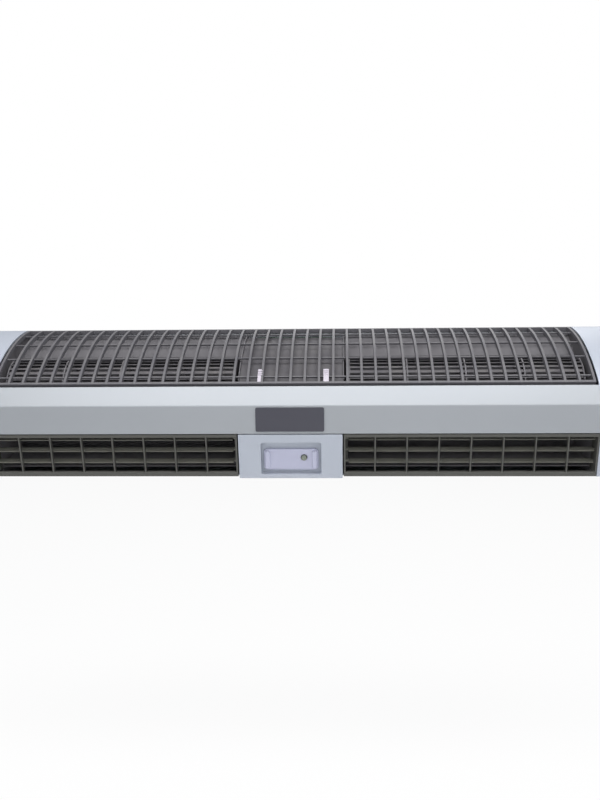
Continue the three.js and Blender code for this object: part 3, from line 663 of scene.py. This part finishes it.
def spun(profile, sides=40, closed=False):
    """A profile of (x, radius) points spun about the X axis."""
    bm = bmesh.new()
    verts = [bm.verts.new((x, 0, r)) for x, r in profile]
    edges = [bm.edges.new(pair) for pair in zip(verts, verts[1:])]
    if closed:
        edges.append(bm.edges.new((verts[-1], verts[0])))
    bmesh.ops.spin(bm, geom=verts + edges, cent=(0, 0, 0), axis=(1, 0, 0), angle=math.tau,
                   steps=sides, use_merge=True)
    bmesh.ops.remove_doubles(bm, verts=bm.verts[:], dist=NEAR / 10)
    outward(bm)
    return bm


def circle(y, z, radius, sides=32):
    turns = [math.tau * i / sides for i in range(sides)]
    return [(y + radius * math.cos(a), z + radius * math.sin(a)) for a in turns]


def rounded(u0, u1, v0, v1, radius, steps=5):
    """Outline of a rectangle with round corners."""
    corners = [(u1 - radius, v0 + radius), (u1 - radius, v1 - radius),
               (u0 + radius, v1 - radius), (u0 + radius, v0 + radius)]
    points = []
    for quarter, (u, v) in enumerate(corners):
        for i in range(steps + 1):
            a = math.radians(-90 + 90 * quarter + 90 * i / steps)
            points.append((u + radius * math.cos(a), v + radius * math.sin(a)))
    return points


def on_arc(degrees, radius=ARC_RADIUS):
    """Point of the grille's bulge at an angle from the vertical."""
    a = math.radians(degrees)
    return (ARC_CENTRE[0] - radius * math.sin(a), ARC_CENTRE[1] + radius * math.cos(a))


def arc(start, end, radius, steps):
    return [on_arc(start + (end - start) * i / steps, radius) for i in range(steps + 1)]


def repeat_into(target, source, places):
    """Adds one bmesh to another once for each matrix, and frees it."""
    mesh = bpy.data.meshes.new("passing")
    source.to_mesh(mesh)
    source.free()
    for place in places:
        first = len(target.verts)
        target.from_mesh(mesh)
        target.verts.ensure_lookup_table()
        bmesh.ops.transform(target, matrix=place, verts=target.verts[first:])
    bpy.data.meshes.remove(mesh)


def merge_into(target, source):
    repeat_into(target, source, [Matrix.Identity(4)])


def turned_by(count):
    """Matrices that set pieces evenly round the X axis."""
    return [Matrix.Rotation(math.tau * i / count, 4, "X") for i in range(count)]


def hand_over(name, bm, body, slot, stands_for=(), place=UNIT, mirrored=False):
    """The finished bmesh as an object with its finish, riding on its body in place of its CAD nodes."""
    if mirrored:
        bmesh.ops.transform(bm, matrix=Matrix.Diagonal((-1, 1, 1, 1)), verts=bm.verts[:])
        bmesh.ops.reverse_faces(bm, faces=bm.faces[:])
    bmesh.ops.transform(bm, matrix=place, verts=bm.verts[:])
    mesh = bpy.data.meshes.new(name)
    bm.to_mesh(mesh)
    bm.free()
    mesh.shade_smooth()
    mesh.set_sharp_from_angle(angle=math.radians(SMOOTH_TO))
    mesh.materials.append(FINISHES[slot])
    piece = bpy.data.objects.new(name, mesh)
    bpy.context.scene.collection.objects.link(piece)
    even = piece.modifiers.new("even_shading", "WEIGHTED_NORMAL")
    even.keep_sharp = True
    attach(piece, body)
    if stands_for:
        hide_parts(*stands_for)
    print("%-24s %6d faces" % (name, len(mesh.polygons)))
    return piece


SIDES = (("left", True), ("right", False))

# %% [markdown]
# ## The front band
# On the real unit this is one long silver-painted cover with a sharp crease. The upper facet looks up and
# catches the light, the lower one falls into half shade. It is made as its bent line, drawn out along the
# unit, with small radii at the folds because a painted edge is never knife-sharp.

# %% Front band
BAND_THICKNESS = 2


def front_band():
    path = [(-165.5, 119.5), BAND_TOP, NOSE, BAND_BOTTOM, (-171, 64.6)]
    return bent_sheet(path, -BODY_END, BODY_END, BAND_THICKNESS, 1.2)


hand_over("front_band_dressed", front_band(), "housing", "silver", ["front_band"])

# %% [markdown]
# ## The name plate
# A thin lacquered plate is stuck to the lower facet. It stays blank: a shallow raised rim runs round it and
# the field inside is plain.

# %% Name plate
PLATE = (-47, 47, 3.6, 37.2)
PLATE_CORNER = 2.2
PLATE_FIELD = -1.05
PLATE_THICKNESS = 0.7
RIM_WIDTH = 1.1
RIM_HEIGHT = 0.25


def name_plate():
    bm = bmesh.new()
    outline = along_y(rounded(*PLATE, PLATE_CORNER), PLATE_FIELD)
    faces = draw_out(bm, outline, (0, PLATE_THICKNESS, 0))
    field = min(faces, key=lambda face: face.calc_center_median().y)
    bmesh.ops.inset_region(bm, faces=[field], thickness=RIM_WIDTH, depth=0.0)
    rim = [v for v in bm.verts if v.co.y < PLATE_FIELD + NEAR and v not in field.verts]
    bmesh.ops.translate(bm, verts=rim, vec=(0, -RIM_HEIGHT, 0))
    soften(bm, corner_edges(bm), 0.12, 2)
    return bm


hand_over("name_plate_dressed", name_plate(), "housing", "plate_dark", ["name_plate"], FACET)

# %% [markdown]
# ## The end caps
# Each end is closed by a moulded cap that follows the whole side outline, with two round wells for its
# screws. The outer face is filled round the wells first. Then everything is drawn inwards, the open side is
# removed, the rim is rounded and the skin gets its wall thickness, so the wells turn into the bosses behind.
# A ring at the bottom of each well takes the screw's head.

# %% End caps
CAP_WALL = 2.5
CAP_SCREWS = ((-36, 176), (-112, 14))
WELL_RADIUS = 4.2
SCREW_SEAT = BODY_END + 8
SEAT_THICKNESS = 2
SEAT_RADII = (2.2, 5)


def end_cap():
    outline = [(-1, 0), LIP, BAND_BOTTOM, NOSE, BAND_TOP]
    outline += arc(ARC_FRONT, ARC_BACK, ARC_RADIUS, 28) + [(-13, HEIGHT), (-1, HEIGHT)]
    outer = LENGTH / 2
    bm = bmesh.new()
    edges = draw_loop(bm, along_x(outline, outer))
    for y, z in CAP_SCREWS:
        edges += draw_loop(bm, along_x(circle(y, z, WELL_RADIUS, 28), outer))
    bmesh.ops.triangle_fill(bm, edges=edges, use_beauty=True)
    grown = bmesh.ops.extrude_face_region(bm, geom=bm.faces[:])
    inner_verts = set(moved_verts(grown))
    bmesh.ops.translate(bm, verts=list(inner_verts), vec=(-CAP_WIDTH, 0, 0))
    outward(bm)
    inner = [face for face in bm.faces if all(v in inner_verts for v in face.verts)]
    bmesh.ops.delete(bm, geom=inner, context="FACES")
    flatten(bm)
    rim = [edge for edge in corner_edges(bm) if all(v.co.x > outer - NEAR for v in edge.verts)]
    soften(bm, rim, 1.0, 3)
    bmesh.ops.solidify(bm, geom=bm.faces[:], thickness=CAP_WALL)
    bore, edge = SEAT_RADII
    below = SCREW_SEAT - SEAT_THICKNESS
    seat = spun([(below, bore), (below, edge), (SCREW_SEAT, edge), (SCREW_SEAT, bore)], 28, True)
    repeat_into(bm, seat, [shifted(y, z) for y, z in CAP_SCREWS])
    return bm


for hand, mirrored in SIDES:
    hand_over(hand + "_end_cap_dressed", end_cap(), "housing", "pale_silver", [hand + "_end_cap"],
              mirrored=mirrored)

# %% [markdown]
# ## The intake grille
# The grille is one dark moulding: 43 thin ribs that run front to back over the bulge, tied by cross bars
# that lie a little deeper. One rib is a small rectangle spun about the bulge's axis. Its long edges are
# rounded before it is copied along the unit.

# %% Intake grille
GRILLE_HALF = BODY_END - 2.5
GRILLE_DEPTH = 7
RIB_COUNT = 43
RIB_WIDTH = 3.6
BAR_ANGLES = (15.5, 24.5, 33.5, 42.5)
BAR_DEPTH = (0.8, 3.6)
RAIL_DEPTH = (0.3, 6.9)
HINGE = (-18.5, 207.6)
PIN_RADIUS = 1.6
PIN_HALF = 1.4
CLIP_X = {"left": -42.2, "right": 49.5}
CLIP_HALF = 3.9
CLIP_DEPTH = 3.8
CLIP_TOP = 40
GRIP_ANGLES = (42.6, 41.8, 41.0)


def swept_on_bulge(x0, x1, low, high, start, end, steps, radius):
    """A rectangle x0..x1 by low..high from the bulge's axis, spun from one angle to another."""
    bm = bmesh.new()
    corners = [(x0, *on_arc(start, low)), (x1, *on_arc(start, low)),
               (x1, *on_arc(start, high)), (x0, *on_arc(start, high))]
    face = bm.faces.new([bm.verts.new(corner) for corner in corners])
    bmesh.ops.spin(bm, geom=[face, *face.edges, *face.verts], cent=(0, *ARC_CENTRE), axis=(1, 0, 0),
                   angle=math.radians(end - start), steps=steps, use_merge=False)
    outward(bm)
    soften(bm, corner_edges(bm), radius, 2)
    return bm


def intake_grille():
    bm = bmesh.new()
    inner = ARC_RADIUS - GRILLE_DEPTH
    pitch = (2 * GRILLE_HALF - RIB_WIDTH) / (RIB_COUNT - 1)
    first = -GRILLE_HALF + RIB_WIDTH / 2
    rib = swept_on_bulge(-RIB_WIDTH / 2, RIB_WIDTH / 2, inner, ARC_RADIUS, ARC_FRONT, ARC_BACK, 22, 0.5)
    repeat_into(bm, rib, [Matrix.Translation((first + i * pitch, 0, 0)) for i in range(RIB_COUNT)])
    half = GRILLE_HALF - 0.4
    low, high = (inner + depth for depth in BAR_DEPTH)
    for angle in BAR_ANGLES:
        merge_into(bm, swept_on_bulge(-half, half, low, high, angle + 0.25, angle - 0.25, 1, 0.4))
    low, high = (inner + depth for depth in RAIL_DEPTH)
    for start, end in ((ARC_FRONT - 0.05, ARC_FRONT - 0.8), (ARC_BACK + 0.9, ARC_BACK + 0.05)):
        merge_into(bm, swept_on_bulge(-half, half, low, high, start, end, 1, 0.5))
    for side in (-1, 1):
        middle = side * (GRILLE_HALF + 0.3)
        rod_x(bm, middle - PIN_HALF, middle + PIN_HALF, *HINGE, PIN_RADIUS, 20)
    return bm


hand_over("intake_grille_dressed", intake_grille(), "grille", "graphite", ["intake_grille"])


def grille_clip(x):
    low, high = ARC_RADIUS - CLIP_DEPTH, ARC_RADIUS - 0.1
    bm = swept_on_bulge(x - CLIP_HALF, x + CLIP_HALF, low, high, ARC_FRONT - 0.1, CLIP_TOP, 6, 0.7)
    low, high = ARC_RADIUS - 1, ARC_RADIUS + 1
    for angle in GRIP_ANGLES:
        merge_into(bm, swept_on_bulge(x - 3, x + 3, low, high, angle + 0.12, angle - 0.12, 1, 0.25))
    return bm


for hand, _ in SIDES:
    hand_over(hand + "_clip_dressed", grille_clip(CLIP_X[hand]), hand + "_clip", "white_clip",
              [hand + "_grille_clip"])

# %% [markdown]
# ## The centre panel
# The control panel is a moulded box without a back. Its tray is made by cutting the front face along the
# tray's four sides and pushing the middle piece inwards. The corners of the tray are then rounded, the rim
# gets a fine radius, and the whole skin gets its wall thickness.

# %% Centre panel
PANEL_DEPTH = 26
PANEL_WALL = 2
TRAY = (-41, 42.5, 3, 51)
TRAY_DEPTH = 10
BUTTON = (18.5, 26.5)
BUTTON_HOLE = 4.5


def centre_panel():
    bm = bmesh.new()
    front = draw_loop(bm, along_y(rounded(-PANEL_HALF, PANEL_HALF, -PANEL_DROP, OUTLET_HEIGHT, 1.2, 3), 0))
    rim = draw_loop(bm, along_y(rounded(*TRAY, 3), 0))
    bmesh.ops.triangle_fill(bm, edges=front + rim, use_beauty=True)
    drawn_back(bm, front, PANEL_DEPTH)
    bed = drawn_back(bm, rim, TRAY_DEPTH)
    bed += draw_loop(bm, along_y(circle(*BUTTON, BUTTON_HOLE), TRAY_DEPTH))
    bmesh.ops.triangle_fill(bm, edges=bed, use_beauty=True)
    outward(bm)
    flatten(bm)
    soften(bm, corner_edges(bm), 0.5, 3)
    facing = max(bm.faces, key=lambda face: face.calc_area() if face.calc_center_median().y < 0.1 else 0)
    if facing.normal.y > 0:
        bmesh.ops.reverse_faces(bm, faces=bm.faces[:])
    bmesh.ops.solidify(bm, geom=bm.faces[:], thickness=PANEL_WALL)
    return bm


hand_over("centre_panel_dressed", centre_panel(), "housing", "pale_silver", ["centre_panel"], OUTLET)

# %% [markdown]
# ## Window and button
# The window in the tray lets the remote control's signal through. It is a glossy lilac-grey moulding with
# a raised ridge at each end, and the one button stands in a hole of it. The button is a profile spun
# about its own axis, with a dished top for the fingertip.

# %% Window and button
WINDOW = (-37.5, 38.5, 8, 39)
WINDOW_FACE = 6
WINDOW_THICKNESS = 3.7
RIDGE_FACE = 3.6
RIDGE_HALF = 3.5
RIDGE_INSET = 5.2


def receiver_window():
    x0, x1, z0, z1 = WINDOW
    outline = along_y(rounded(*WINDOW, 5), WINDOW_FACE)
    hole = along_y(circle(*BUTTON, BUTTON_HOLE), WINDOW_FACE)
    bm = holed_plate(outline, [hole], (0, WINDOW_THICKNESS, 0))
    soften(bm, front_corners(bm, WINDOW_FACE), 0.7, 3)
    for x in (x0 + RIDGE_INSET, x1 - RIDGE_INSET):
        ridge = bmesh.new()
        outline = rounded(x - RIDGE_HALF, x + RIDGE_HALF, z0 + 2, z1 - 2, 3)
        draw_out(ridge, along_y(outline, RIDGE_FACE), (0, WINDOW_FACE - RIDGE_FACE + 0.4, 0))
        soften(ridge, front_corners(ridge, RIDGE_FACE), 1.3, 4)
        merge_into(bm, ridge)
    return bm


def power_button():
    dished = [(3.5, 0), (3.42, 1.2), (3.15, 2.4), (3.02, 2.9), (3.12, 3.4), (3.6, 3.85), (4.3, 4)]
    bm = spun(dished + [(11.3, 4), (11.3, 0)], 32)
    turn = Matrix.Translation((BUTTON[0], 0, BUTTON[1])) @ Matrix.Rotation(math.radians(90), 4, "Z")
    bmesh.ops.transform(bm, matrix=turn, verts=bm.verts[:])
    return bm


hand_over("receiver_window_dressed", receiver_window(), "housing", "lilac", ["receiver_window"], OUTLET)
hand_over("power_button_dressed", power_button(), "button", "olive", ["power_button"], OUTLET)

# %% [markdown]
# ## The outlets
# Each outlet has a frame with seven upright dividers, and three level louvres behind them. The frame starts
# as a row of eight cells. Every cell is inset and emptied, which leaves the lattice as one flat sheet. The
# sheet gets its depth, and its edges are rounded.

# %% Outlet frames
CELLS = 8
DIVIDER_PITCH = 43.7
DIVIDER_WIDTH = 2
DIVIDER_DEPTH = 5
CHEEK = 2.5
CHEEK_SIDES = (5, 27, 1, OUTLET_HEIGHT - 1)
RAILS = (6.5, 4.5)
LATTICE_FACE = 0.6
BLADE_CHORD = 15
BLADE_PIVOT_DEPTH = 15
BLADE_HEIGHTS = (18, 35, 52)
CRANK = 6.5


def outlet_lattice():
    bm = bmesh.new()
    width = DIVIDER_PITCH * CELLS
    place = Matrix.Translation((PANEL_HALF + 1 + width / 2, LATTICE_FACE, OUTLET_HEIGHT / 2))
    shape = Matrix.Diagonal((width, 1, OUTLET_HEIGHT, 1)) @ Matrix.Rotation(math.radians(90), 4, "X")
    bmesh.ops.create_grid(bm, x_segments=CELLS, y_segments=1, size=0.5, matrix=place @ shape)
    cells = bm.faces[:]
    bmesh.ops.inset_individual(bm, faces=cells, thickness=DIVIDER_WIDTH / 2, use_even_offset=True)
    inner = {vert for cell in cells for vert in cell.verts}
    for vert in bm.verts:
        margin = CHEEK if vert in inner else 0
        vert.co.x = min(max(vert.co.x, OUTLET_START + margin), BODY_END - margin)
    for vert in inner:
        vert.co.z = RAILS[0] if vert.co.z < OUTLET_HEIGHT / 2 else OUTLET_HEIGHT - RAILS[1]
    bmesh.ops.delete(bm, geom=cells, context="FACES_ONLY")
    grown = bmesh.ops.extrude_face_region(bm, geom=bm.faces[:])
    bmesh.ops.translate(bm, verts=moved_verts(grown), vec=(0, DIVIDER_DEPTH, 0))
    outward(bm)
    flatten(bm)
    soften(bm, front_corners(bm, LATTICE_FACE), 0.6, 3)
    return bm


def outlet_frame():
    bm = outlet_lattice()
    front, back, low, high = CHEEK_SIDES
    for x in (OUTLET_START, BODY_END - CHEEK):
        outline = along_x([(front, low), (back, low), (back, high), (front, high)], x)
        holes = [along_x(circle(BLADE_PIVOT_DEPTH, z, 2, 20), x) for z in BLADE_HEIGHTS]
        merge_into(bm, holed_plate(outline, holes, (CHEEK, 0, 0)))
    return bm


for hand, mirrored in SIDES:
    hand_over(hand + "_outlet_dressed", outlet_frame(), "housing", "outlet_black", [hand + "_outlet_frame"],
              OUTLET, mirrored)

# %% [markdown]
# A louvre is a slim lens in section, so that the air leaves it cleanly, with a round pivot at each end and
# a crank pin near one of them. The link bar joins the three crank pins, so all louvres of a side tilt
# together.

# %% Louvres and link bars


def louvre():
    half = BLADE_CHORD / 2
    upper = [(half * math.cos(math.radians(a)), math.sin(math.radians(a)) ** 0.7) for a in range(10, 171, 16)]
    lower = [(y, -z) for y, z in reversed(upper)]
    bm = bmesh.new()
    start = OUTLET_START + 6.7
    end = BODY_END - 3.8
    draw_out(bm, along_x(upper + lower, start), (end - start, 0, 0))
    rod_x(bm, OUTLET_START + 0.3, start + 0.7, 0, 0, 1.5, 20)
    rod_x(bm, end - 0.7, BODY_END - 0.9, 0, 0, 1.5, 20)
    rod_x(bm, OUTLET_START + 2.9, start + 0.7, CRANK, 0, 1.0, 16)
    return bm


def link_bar():
    bar = rounded(-2.7, 2.7, BLADE_HEIGHTS[0] - 3, BLADE_HEIGHTS[-1] + 3, 2.6)
    near = OUTLET_START + 3.5
    holes = [along_x(circle(0, z, 1.5, 20), near) for z in BLADE_HEIGHTS]
    bm = holed_plate(along_x(bar, near), holes, (1.8, 0, 0))
    soften(bm, corner_edges(bm), 0.25, 2)
    return bm


for hand, mirrored in SIDES:
    for i, height in enumerate(BLADE_HEIGHTS, 1):
        name = "%s_louvre_%d" % (hand, i)
        hand_over(name + "_dressed", louvre(), name, "blade_grey", [name],
                  OUTLET @ shifted(BLADE_PIVOT_DEPTH, height), mirrored)
    hand_over(hand + "_link_dressed", link_bar(), hand + "_link", "outlet_black", [hand + "_link_bar"],
              OUTLET @ shifted(BLADE_PIVOT_DEPTH + CRANK, 0), mirrored)

# %% [markdown]
# ## The air path
# Behind the grille a scroll of dark painted sheet wraps round each wheel and leads to the outlet. Its
# distance from the axis grows evenly with the angle, which is what slows the air and turns it forward.
# A shorter bent sheet, the tongue, parts the intake from the outlet at the front.

# %% Scrolls and tongues
SCROLL_RADIUS = 61
SCROLL_GROWTH = 22
SHEET = 1.2
SHEET_SPAN = (PANEL_HALF + 2.7, BODY_END - 2.1)


def scroll():
    path = [(-12, 200), (-40, 180), (-52, 168), (-51, 162)]
    for i in range(28):
        degrees = 45 - 5 * i
        r = SCROLL_RADIUS + (60 - degrees) / 150 * SCROLL_GROWTH
        a = math.radians(degrees)
        path.append((AXIS[0] + r * math.cos(a), AXIS[1] + r * math.sin(a)))
    return bent_sheet(path + [(-138, 12.5)], *SHEET_SPAN, SHEET)


def tongue():
    path = [(-156, 68.5), (-143.2, 85), (-147.6, 106), (-155.6, 119), (-162.5, 116.5)]
    return bent_sheet(path, *SHEET_SPAN, SHEET, 1.6)


for hand, mirrored in SIDES:
    for kind, sheet in (("_scroll", scroll()), ("_tongue", tongue())):
        hand_over(hand + kind + "_dressed", sheet, "housing", "dark_sheet", [hand + kind], mirrored=mirrored)

# %% [markdown]
# ## The wheels
# A cross-flow wheel is a drum of curved blades between round discs. One blade is a short arc drawn out over
# the length of the wheel and given its thickness. It is copied 36 times round the axis.

# %% Impellers
WHEEL_START = PANEL_HALF + 9
WHEEL_END = BODY_END - 8
WHEEL_RADIUS = 55
WHEEL_BLADES = 36
BLADE_FOOT = 45.2
BLADE_TIP = 54.4
DISCS = 5
DISC_BORE = 43
DISC_THICKNESS = 2
HUB_BORE = 5.3
HUB_RADIUS = 11
HUB_LENGTH = 18
STUB_RADIUS = 4
STUB_LENGTH = 15.6


def wheel_blade():
    points = []
    for i in range(6):
        share = i / 5
        r = BLADE_FOOT + (BLADE_TIP - BLADE_FOOT) * share
        a = math.radians(14 * share - 3.2 * math.sin(math.pi * share))
        points.append((r * math.cos(a), r * math.sin(a)))
    return bent_sheet(points, WHEEL_START + 1, WHEEL_END - 1, 0.8)


def impeller():
    bm = bmesh.new()
    repeat_into(bm, wheel_blade(), turned_by(WHEEL_BLADES))
    reach = WHEEL_END - WHEEL_START - DISC_THICKNESS
    rim = WHEEL_RADIUS - 0.1
    for i in range(1, DISCS - 1):
        x = WHEEL_START + reach * i / (DISCS - 1)
        ring = [(x, DISC_BORE), (x, rim), (x + DISC_THICKNESS, rim), (x + DISC_THICKNESS, DISC_BORE)]
        merge_into(bm, spun(ring, 48, True))
    rim = WHEEL_RADIUS - 0.4
    hub = [(0, HUB_BORE), (0, 30), (1, 32), (0, 50), (0, rim), (0.4, WHEEL_RADIUS), (2, WHEEL_RADIUS),
           (2, 50), (3, 32), (2, 30), (3, HUB_RADIUS), (HUB_LENGTH, HUB_RADIUS), (HUB_LENGTH, HUB_BORE)]
    merge_into(bm, spun([(WHEEL_START + x, r) for x, r in hub], 48, True))
    end = [(-2, 0), (-2, rim), (-1.6, WHEEL_RADIUS), (-0.4, WHEEL_RADIUS), (0, rim), (0, 8), (1, 6),
           (1, STUB_RADIUS), (STUB_LENGTH - 0.4, STUB_RADIUS), (STUB_LENGTH, STUB_RADIUS - 0.4),
           (STUB_LENGTH, 0)]
    merge_into(bm, spun([(WHEEL_END + x, r) for x, r in end], 48))
    return bm


for hand, mirrored in SIDES:
    hand_over(hand + "_impeller_dressed", impeller(), "rotor", "wheel_grey", [hand + "_impeller"],
              ROTOR, mirrored)

# %% [markdown]
# ## The motor
# The motor is a pressed steel can with rolled rims, a ring of cooling fins at each end bell and a small
# lead box on its back. Its rims and bells are one profile spun about the shaft.

# %% Motor
FINS = 16
FIN_PLACE = 34.5


def motor_body():
    half = [(50, 5.4), (50, 16.4), (49.4, 17), (38, 17), (36.6, 18.5), (35.4, 28), (34, 32), (32.6, 43.2),
            (31.4, 44.6), (29.4, 45), (27.6, 44.6), (27, 43.8), (12, 43.8)]
    profile = [(-x, r) for x, r in half] + list(reversed(half))
    bm = spun(profile, 56, True)
    for x in (-FIN_PLACE, FIN_PLACE):
        fin = rounded_block(x - 1.4, x + 1.4, -1.1, 1.1, 33, 42, 0.8, 2)
        repeat_into(bm, fin, turned_by(FINS))
    merge_into(bm, rounded_block(-12, 12, 20, 52, -7, 7, 1.6, 3))
    return bm


hand_over("motor_body_dressed", motor_body(), "housing", "motor_paint", ["motor_body"], ROTOR)

# %% [markdown]
# ## The bay cover
# Between the two outlets the bay with the motor and the board is closed by a thin bent cover right behind
# the grille, so that a finger or a drip that gets past the ribs meets no mains wiring. It has a turned
# flange at each side. Its colour is partly painted shade: it is a darker grey than the grille, and it stands
# in for the even dark seen through the grille's cells.

# %% Bay cover
COVER_RADIUS = 263.5
COVER_ANGLES = (43.5, 11.5)
COVER_THICKNESS = 0.8
FLANGE_DEPTH = 5


def bay_shade_cover():
    half = PANEL_HALF + 0.9
    bm = swept_on_bulge(-half, half, COVER_RADIUS, COVER_RADIUS + COVER_THICKNESS, *COVER_ANGLES, 20, 0.2)
    low, high = COVER_RADIUS - FLANGE_DEPTH, COVER_RADIUS + 0.2
    for x in (-half, half - COVER_THICKNESS):
        merge_into(bm, swept_on_bulge(x, x + COVER_THICKNESS, low, high, *COVER_ANGLES, 20, 0.2))
    return bm


cover = hand_over("bay_shade_cover", bay_shade_cover(), "housing", "graphite")
# Painted shade: a darker grey than the grille's moulding, standing in for the dark seen through the cells.
cover.data.materials[0] = skin("cover_painted_shade", srgb(78, 76, 81), 0.55,
                               fine=1600, depth=0.00003, spread=0.08, dust=0.12)

# %% [markdown]
# ## Finishes for what stays as built
# The remaining pieces already have their real shape: the chassis, the plates, the brackets, the screws and
# the electrical parts. Each gets the finish of its slot in the record.

# %% Finishes on the carried-over pieces
for entry in frame["record"]["subparts"]:
    node = frame["nodes"][entry["node"]]
    if node.hide_render:
        continue
    node.data.materials.clear()
    node.data.materials.append(FINISHES[entry["material_slot"]])
    print("%-24s %s" % (entry["node"], entry["material_slot"]))
